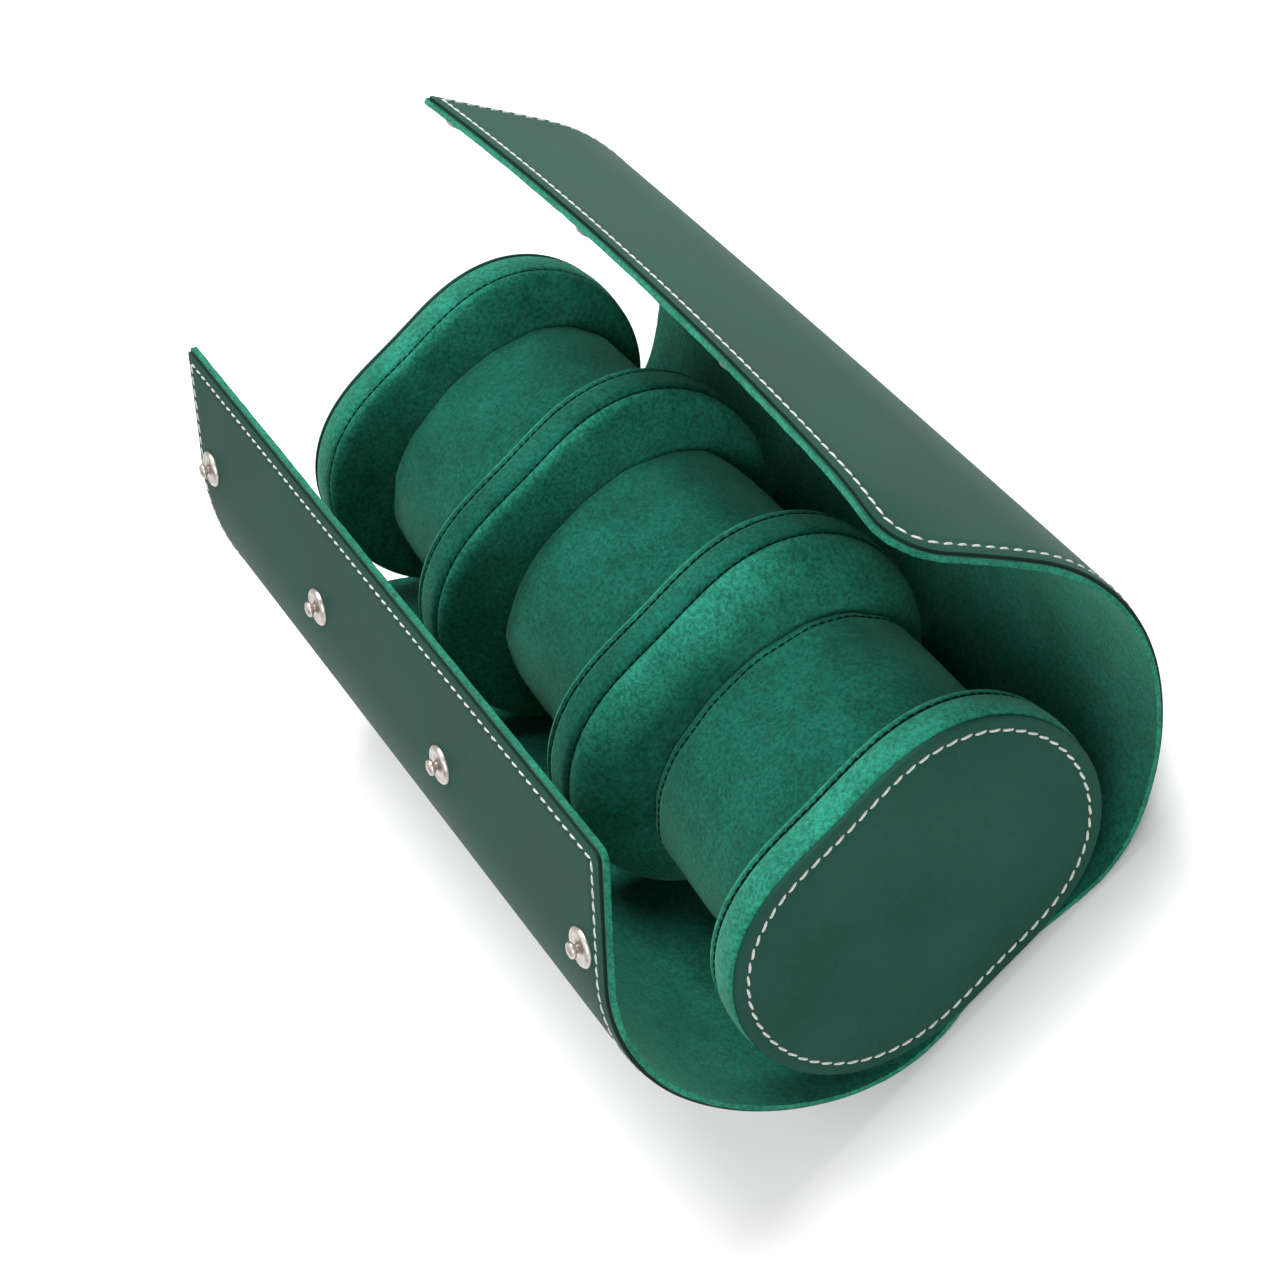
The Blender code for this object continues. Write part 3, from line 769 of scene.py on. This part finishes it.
def divider_half(way, puff):
    """Rings of a divider's half, from its crest to the middle of its face, as x, inset and share."""
    rings = [(DIVIDER_SEAM_X + depth, inset, 1.0) for depth, inset in SEAM_RINGS]
    if puff:
        rings += [(DIVIDER_SEAM_X + depth, inset, 1.0) for depth, inset in PUFFY_FACE_RINGS]
    else:
        rings += [(DIVIDER_SEAM_X + depth, inset, 1.0) for depth, inset in FLAT_SHOULDER_RINGS]
        crown = DIVIDER_HALF - DIVIDER_SHOULDER_X
        rings += [(DIVIDER_SHOULDER_X + crown * rise, inset, 1.0) for inset, rise in FLAT_FACE_RINGS]
    rings += [(DIVIDER_HALF + puff, DIVIDER_FACE_INSET, share) for share in PAD_FACE_SHARES]
    return [(way * x, inset, share) for x, inset, share in rings]


def divider(word, middle, puff):
    """A padded divider with a seam on each shoulder. Its right face swells out by the puff."""
    profile = divider_half(-1, 0.0)[::-1] + [(0.0, DIVIDER_CREST_INSET, 1.0)] + divider_half(1, puff)
    rings = [disc_ring(middle + x, inset, share, DIVIDER_GROW) for x, inset, share in profile]
    # The faces take the lighter suede, which is painted light; the crest between the seams keeps the plain
    # suede
    pad = loft(f"{word}_divider_pad", rings, SUEDE_PAINTED_LIGHT)
    pad.data.materials.append(SUEDE)
    for face in pad.data.polygons:
        if abs(face.center.x - middle) < DIVIDER_SEAM_X:
            face.material_index = 1
    parts = ("core", "band", "left_facing", "right_facing")
    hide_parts(*[f"{word}_divider_{part}" for part in parts])
    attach(pad, "base")
    for side, way in (("left", -1), ("right", 1)):
        seam(f"{word}_divider_seam_{side}", middle + way * DIVIDER_SEAM_X, DIVIDER_GROW)


def waves(table, phases, angle, share):
    """The height of some waves round a pillow, at an angle and a share of its length."""
    return sum(
        height * math.sin(turns * angle + along * share + phase)
        for (height, turns, along), phase in zip(table, phases)
    )


def pillow_ring(low, length, share, phases, sewn):
    """One ring of a pillow's cover, rounded off at its ends, with wrinkles and dents."""
    to_end = min(share, 1 - share) * length
    round_off = math.sqrt(max(0.0, 1 - max(0.0, 1 - to_end / PILLOW_ROUNDING) ** 2))
    crown = 1 - (2 * share - 1) ** 2
    inset = PILLOW_ROUNDING * (1 - round_off) + PILLOW_CROWN * (1 - crown)
    if sewn:
        inset += PILLOW_SEAM_DIP * math.exp(-(((to_end - PILLOW_SEAM_FROM_END) / PILLOW_SEAM_DIP_WIDTH) ** 2))
    ring = []
    for step in range(RING_POINTS):
        angle = 2 * math.pi * step / RING_POINTS
        s = math.sin(angle)
        c = math.cos(angle)
        y = math.copysign(abs(s) ** (2 / PILLOW_POWER), s) * (PILLOW_HALF_WIDTH - inset)
        z = math.copysign(abs(c) ** (2 / PILLOW_POWER), c) * (PILLOW_HALF_HEIGHT - inset)
        wrinkled = math.exp(-((to_end / WRINKLE_REACH) ** 2)) * round_off
        if sewn and share > 0.5:
            wrinkled *= 1 + NEAR_WRINKLES * max(0.0, math.cos(angle - NEAR_WRINKLES_ANGLE)) ** 2
        height = WRINKLE * wrinkled * waves(WRINKLE_WAVES, phases[:2], angle, share)
        height += DENT * crown * waves(DENT_WAVES, phases[2:], angle, share)
        scale = 1 + height / PILLOW_HALF_WIDTH
        ring.append((low + share * length, PILLOW_Y + y * scale, PILLOW_Z + z * scale))
    return ring


def pillow(word, low, high, seed):
    """A stuffed pillow with a crowned cover. The right one shows the seams of its end panels."""
    sewn = word == "right"
    phases = np.random.default_rng(seed).uniform(0, 2 * math.pi, 4)
    rings = [pillow_ring(low, high - low, share, phases, sewn) for share in PILLOW_RINGS]
    panels = []
    for ring, x in ((rings[0], low), (rings[-1], high)):
        centre = np.array((x, PILLOW_Y, PILLOW_Z))
        spokes = np.array(ring) - centre
        panels.append([[tuple(p) for p in centre + spokes * share] for share in PILLOW_END_SHARES])
    obj = loft(f"{word}_pillow_shape", panels[0] + rings + panels[1][::-1], SUEDE)
    if sewn:
        for tag, x in (("left", low + PILLOW_SEAM_FROM_END), ("right", high - PILLOW_SEAM_FROM_END)):
            nearest = min(rings, key=lambda ring: abs(ring[0][0] - x))
            middle = Vector((x, PILLOW_Y, PILLOW_Z))
            thread = ring_stitches(f"right_pillow_seam_{tag}", nearest, middle, PILLOW_SEAM_RADIUS)
            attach(thread, "right_pillow")
    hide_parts(*[f"{word}_pillow_{part}" for part in ("core", "cover", "left_end", "right_end")])
    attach(obj, f"{word}_pillow")


def turned(name, profile, place, normal, body):
    """A round metal piece turned about the normal at its place."""
    points = []
    faces = []
    side = normal.orthogonal().normalized()
    other = normal.cross(side)
    for radius, height in profile:
        for step in range(SNAP_SIDES):
            angle = 2 * math.pi * step / SNAP_SIDES
            spoke = side * math.cos(angle) + other * math.sin(angle)
            points.append(place + normal * height + spoke * radius)
    last = (len(profile) - 1) * SNAP_SIDES
    for ring in range(0, last, SNAP_SIDES):
        for step in range(SNAP_SIDES):
            a = ring + step
            b = ring + (step + 1) % SNAP_SIDES
            faces.append((a, a + SNAP_SIDES, b + SNAP_SIDES, b))
    faces.append(tuple(range(SNAP_SIDES)))
    faces.append(tuple(range(last, last + SNAP_SIDES))[::-1])
    obj = mesh_object(name, points, faces, [METAL], sharp=METAL_SHARP)
    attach(obj, body)
    return obj


def snaps():
    """Studs on the front flap's leather and sockets on the back flap's lining."""
    for number in range(SNAP_COUNT):
        x = SNAP_SPACING * (number - (SNAP_COUNT - 1) / 2)
        tag = number + 1
        place, normal = FRONT.place(FRONT.length - STUD_FROM_EDGE, x, LEATHER_LAYER[1])
        made = turned(f"stud_{tag}", STUD_RINGS, place, normal, "front_flap")
        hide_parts(f"snap_stud_{tag}", f"snap_stud_rivet_{tag}")
        place, normal = BACK.place(BACK.length - SOCKET_FROM_EDGE, x, SUEDE_LAYER[0])
        made = turned(f"socket_{tag}", SOCKET_RINGS, place, -normal, "back_flap")
        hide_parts(f"snap_socket_{tag}", f"snap_socket_rivet_{tag}")


def white_world():
    """A weak even light, which the camera, gloss and glass see as white."""
    world = bpy.data.worlds.new("studio")
    bpy.context.scene.world = world
    world.use_nodes = True
    tree = world.node_tree
    background = tree.nodes["Background"]
    background.inputs["Color"].default_value = (1, 1, 1, 1)
    background.inputs["Strength"].default_value = WORLD_STRENGTH
    white = tree.nodes.new("ShaderNodeBackground")
    white.inputs["Color"].default_value = (1, 1, 1, 1)
    white.inputs["Strength"].default_value = 1.0
    path = tree.nodes.new("ShaderNodeLightPath")
    seen = path.outputs["Is Camera Ray"]
    for output in ("Is Glossy Ray", "Is Transmission Ray"):
        either = tree.nodes.new("ShaderNodeMath")
        either.operation = "MAXIMUM"
        tree.links.new(seen, either.inputs[0])
        tree.links.new(path.outputs[output], either.inputs[1])
        seen = either.outputs[0]
    mix = tree.nodes.new("ShaderNodeMixShader")
    tree.links.new(seen, mix.inputs["Fac"])
    tree.links.new(background.outputs[0], mix.inputs[1])
    tree.links.new(white.outputs[0], mix.inputs[2])
    tree.links.new(mix.outputs[0], tree.nodes["World Output"].inputs["Surface"])


def white_floor():
    """A pale floor that takes the roll's shadow and shows plain white to the camera further out."""
    bpy.ops.mesh.primitive_plane_add(size=FLOOR_SIZE, location=(0, 0, FLOOR_Z))
    floor = bpy.context.object
    floor.name = "floor"
    made, tree, shader = principled("floor")
    shader.inputs["Base Color"].default_value = (0.93, 0.93, 0.93, 1)
    shader.inputs["Roughness"].default_value = 0.9
    shader.inputs["Specular IOR Level"].default_value = 0.1
    distance = tree.nodes.new("ShaderNodeVectorMath")
    distance.operation = "LENGTH"
    tree.links.new(coordinates(tree), distance.inputs[0])
    far = tree.nodes.new("ShaderNodeMapRange")
    far.inputs["From Min"].default_value = WHITE_START
    far.inputs["From Max"].default_value = WHITE_FULL
    tree.links.new(distance.outputs["Value"], far.inputs["Value"])
    path = tree.nodes.new("ShaderNodeLightPath")
    share = tree.nodes.new("ShaderNodeMath")
    share.operation = "MULTIPLY"
    tree.links.new(far.outputs["Result"], share.inputs[0])
    tree.links.new(path.outputs["Is Camera Ray"], share.inputs[1])
    glow = tree.nodes.new("ShaderNodeEmission")
    glow.inputs["Color"].default_value = (1, 1, 1, 1)
    mix = tree.nodes.new("ShaderNodeMixShader")
    tree.links.new(share.outputs[0], mix.inputs["Fac"])
    tree.links.new(shader.outputs["BSDF"], mix.inputs[1])
    tree.links.new(glow.outputs["Emission"], mix.inputs[2])
    tree.links.new(mix.outputs[0], tree.nodes["Material Output"].inputs["Surface"])
    floor.data.materials.append(made)


def lamps():
    for name, place, size, power in LAMPS:
        lamp = bpy.data.lights.new(name, "AREA")
        lamp.size = size
        lamp.energy = power
        obj = bpy.data.objects.new(name, lamp)
        bpy.context.scene.collection.objects.link(obj)
        obj.location = place
        obj.rotation_euler = (Vector(LAMP_TARGET) - Vector(place)).to_track_quat("-Z", "Y").to_euler()


def camera():
    data = bpy.data.cameras.new("camera")
    data.sensor_width = SENSOR
    data.lens = CAMERA_FOCAL_PIXELS * SENSOR / PHOTO_PIXELS
    data.clip_start = 0.05
    obj = bpy.data.objects.new("camera", data)
    bpy.context.scene.collection.objects.link(obj)
    axes = Matrix(CAMERA_AXES).transposed().to_4x4()
    obj.matrix_world = Matrix.Translation(CAMERA_PLACE) @ axes
    bpy.context.scene.camera = obj


bpy.context.scene.view_settings.view_transform = "Standard"
camera()
white_world()
white_floor()
lamps()
for wrap in (FRONT, BACK):
    wrap_side(wrap)
end_disc("left", -1)
end_disc("right", 1)
divider("left", LEFT_DIVIDER_X, 0.0)
divider("right", RIGHT_DIVIDER_X, RIGHT_DIVIDER_PUFF)
for pillow_sizes in PILLOWS:
    pillow(*pillow_sizes)
snaps()
